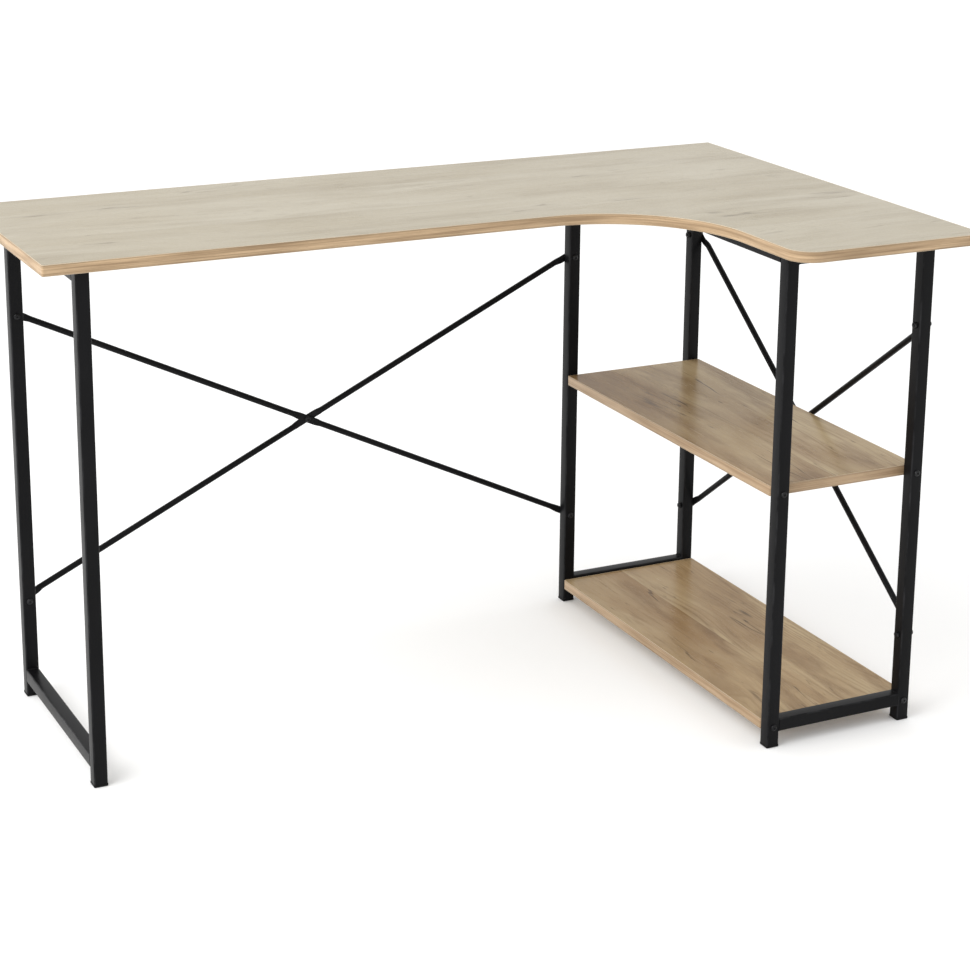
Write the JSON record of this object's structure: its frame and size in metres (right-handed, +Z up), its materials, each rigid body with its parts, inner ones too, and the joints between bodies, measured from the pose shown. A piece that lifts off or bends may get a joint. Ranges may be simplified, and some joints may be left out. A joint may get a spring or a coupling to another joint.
{
  "type": "corner desk",
  "caption": "L-shaped corner desk with a wood-effect top on a black square-tube frame, two open shelves under the short wing and crossed tie rods.",
  "frame": {"origin": "on the floor, under the middle of the desk's outline box", "axes": "+X along the long arm towards the wing, +Y towards the back edge, +Z up"},
  "size_m": [1.2, 0.72, 0.73],
  "materials": {
    "oak_laminate": "matt pale oak-effect melamine with fine grain",
    "oak_edge_strip": "satin oak-effect edge strip",
    "shelf_laminate": "matt oak-effect melamine with knots",
    "black_powder_coat": "semi-gloss fine-textured powder coat",
    "black_zinc": "black-coated steel fasteners",
    "black_plastic": "moulded, fine matt texture"
  },
  "bodies": {
    "root": {"back_brace_bolt_1": "black_zinc", "back_brace_bolt_2": "black_zinc", "back_brace_bolt_3": "black_zinc", "back_brace_bolt_4": "black_zinc", "back_brace_centre_bolt": "black_zinc", "back_brace_centre_nut": "black_zinc", "back_brace_rod_falling": "black_powder_coat", "back_brace_rod_rising": "black_powder_coat", "bottom_shelf": "shelf_laminate", "bottom_shelf_bolt_1": "black_zinc", "bottom_shelf_bolt_2": "black_zinc", "bottom_shelf_bolt_3": "black_zinc", "bottom_shelf_bolt_4": "black_zinc", "bottom_shelf_edge_band": "oak_edge_strip", "desktop": "oak_laminate", "desktop_edge_band": "oak_edge_strip", "desktop_screw_1": "black_zinc", "desktop_screw_2": "black_zinc", "desktop_screw_3": "black_zinc", "desktop_screw_4": "black_zinc", "desktop_screw_5": "black_zinc", "desktop_screw_6": "black_zinc", "desktop_screw_7": "black_zinc", "desktop_screw_8": "black_zinc", "left_back_foot": "black_plastic", "left_back_leg": "black_powder_coat", "left_frame_bottom_bar": "black_powder_coat", "left_frame_top_bar": "black_powder_coat", "left_front_foot": "black_plastic", "left_front_leg": "black_powder_coat", "mid_shelf": "shelf_laminate", "mid_shelf_bolt_1": "black_zinc", "mid_shelf_bolt_2": "black_zinc", "mid_shelf_bolt_3": "black_zinc", "mid_shelf_bolt_4": "black_zinc", "mid_shelf_edge_band": "oak_edge_strip", "shelf_back_bottom_bar": "black_powder_coat", "shelf_back_left_foot": "black_plastic", "shelf_back_left_leg": "black_powder_coat", "shelf_back_right_foot": "black_plastic", "shelf_back_right_leg": "black_powder_coat", "shelf_back_top_bar": "black_powder_coat", "shelf_front_bottom_bar": "black_powder_coat", "shelf_front_left_foot": "black_plastic", "shelf_front_left_leg": "black_powder_coat", "shelf_front_right_foot": "black_plastic", "shelf_front_right_leg": "black_powder_coat", "shelf_front_top_bar": "black_powder_coat", "shelf_left_rail": "black_powder_coat", "shelf_right_rail": "black_powder_coat", "side_brace_bolt_1": "black_zinc", "side_brace_bolt_2": "black_zinc", "side_brace_bolt_3": "black_zinc", "side_brace_bolt_4": "black_zinc", "side_brace_centre_bolt": "black_zinc", "side_brace_centre_nut": "black_zinc", "side_brace_rod_falling": "black_powder_coat", "side_brace_rod_rising": "black_powder_coat"}
  },
  "joints": []
}
